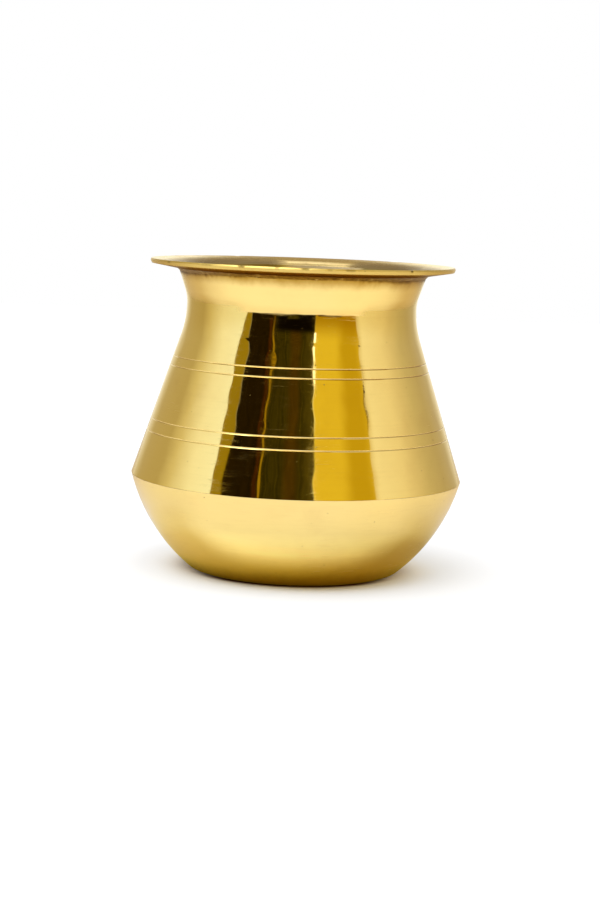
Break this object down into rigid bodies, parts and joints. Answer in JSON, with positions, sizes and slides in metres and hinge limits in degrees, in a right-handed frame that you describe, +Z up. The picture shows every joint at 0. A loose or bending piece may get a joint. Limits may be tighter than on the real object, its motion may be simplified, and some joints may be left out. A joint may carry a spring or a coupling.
{
  "type": "ritual water pot",
  "caption": "Small brass water pot with a dished rim flange, waisted neck, conical body with turned grooves, sharp shoulder and round bowl.",
  "frame": {"origin": "centre of the foot, on the surface that the pot stands on", "axes": "+Z up along the axis that the pot is turned about; all directions around it are alike"},
  "size_m": [0.096, 0.096, 0.089],
  "materials": {
    "polished_brass": "polished on the lathe, fine turning lines, light tarnish in the grooves",
    "rim_brass": "satin, with small nicks along the edge",
    "braze_spelter": "dull, darkened braze"
  },
  "bodies": {
    "root": {"rim_flange": "rim_brass", "upper_body": "polished_brass", "lower_bowl": "polished_brass", "rim_braze": "braze_spelter", "shoulder_braze": "braze_spelter"}
  },
  "joints": []
}
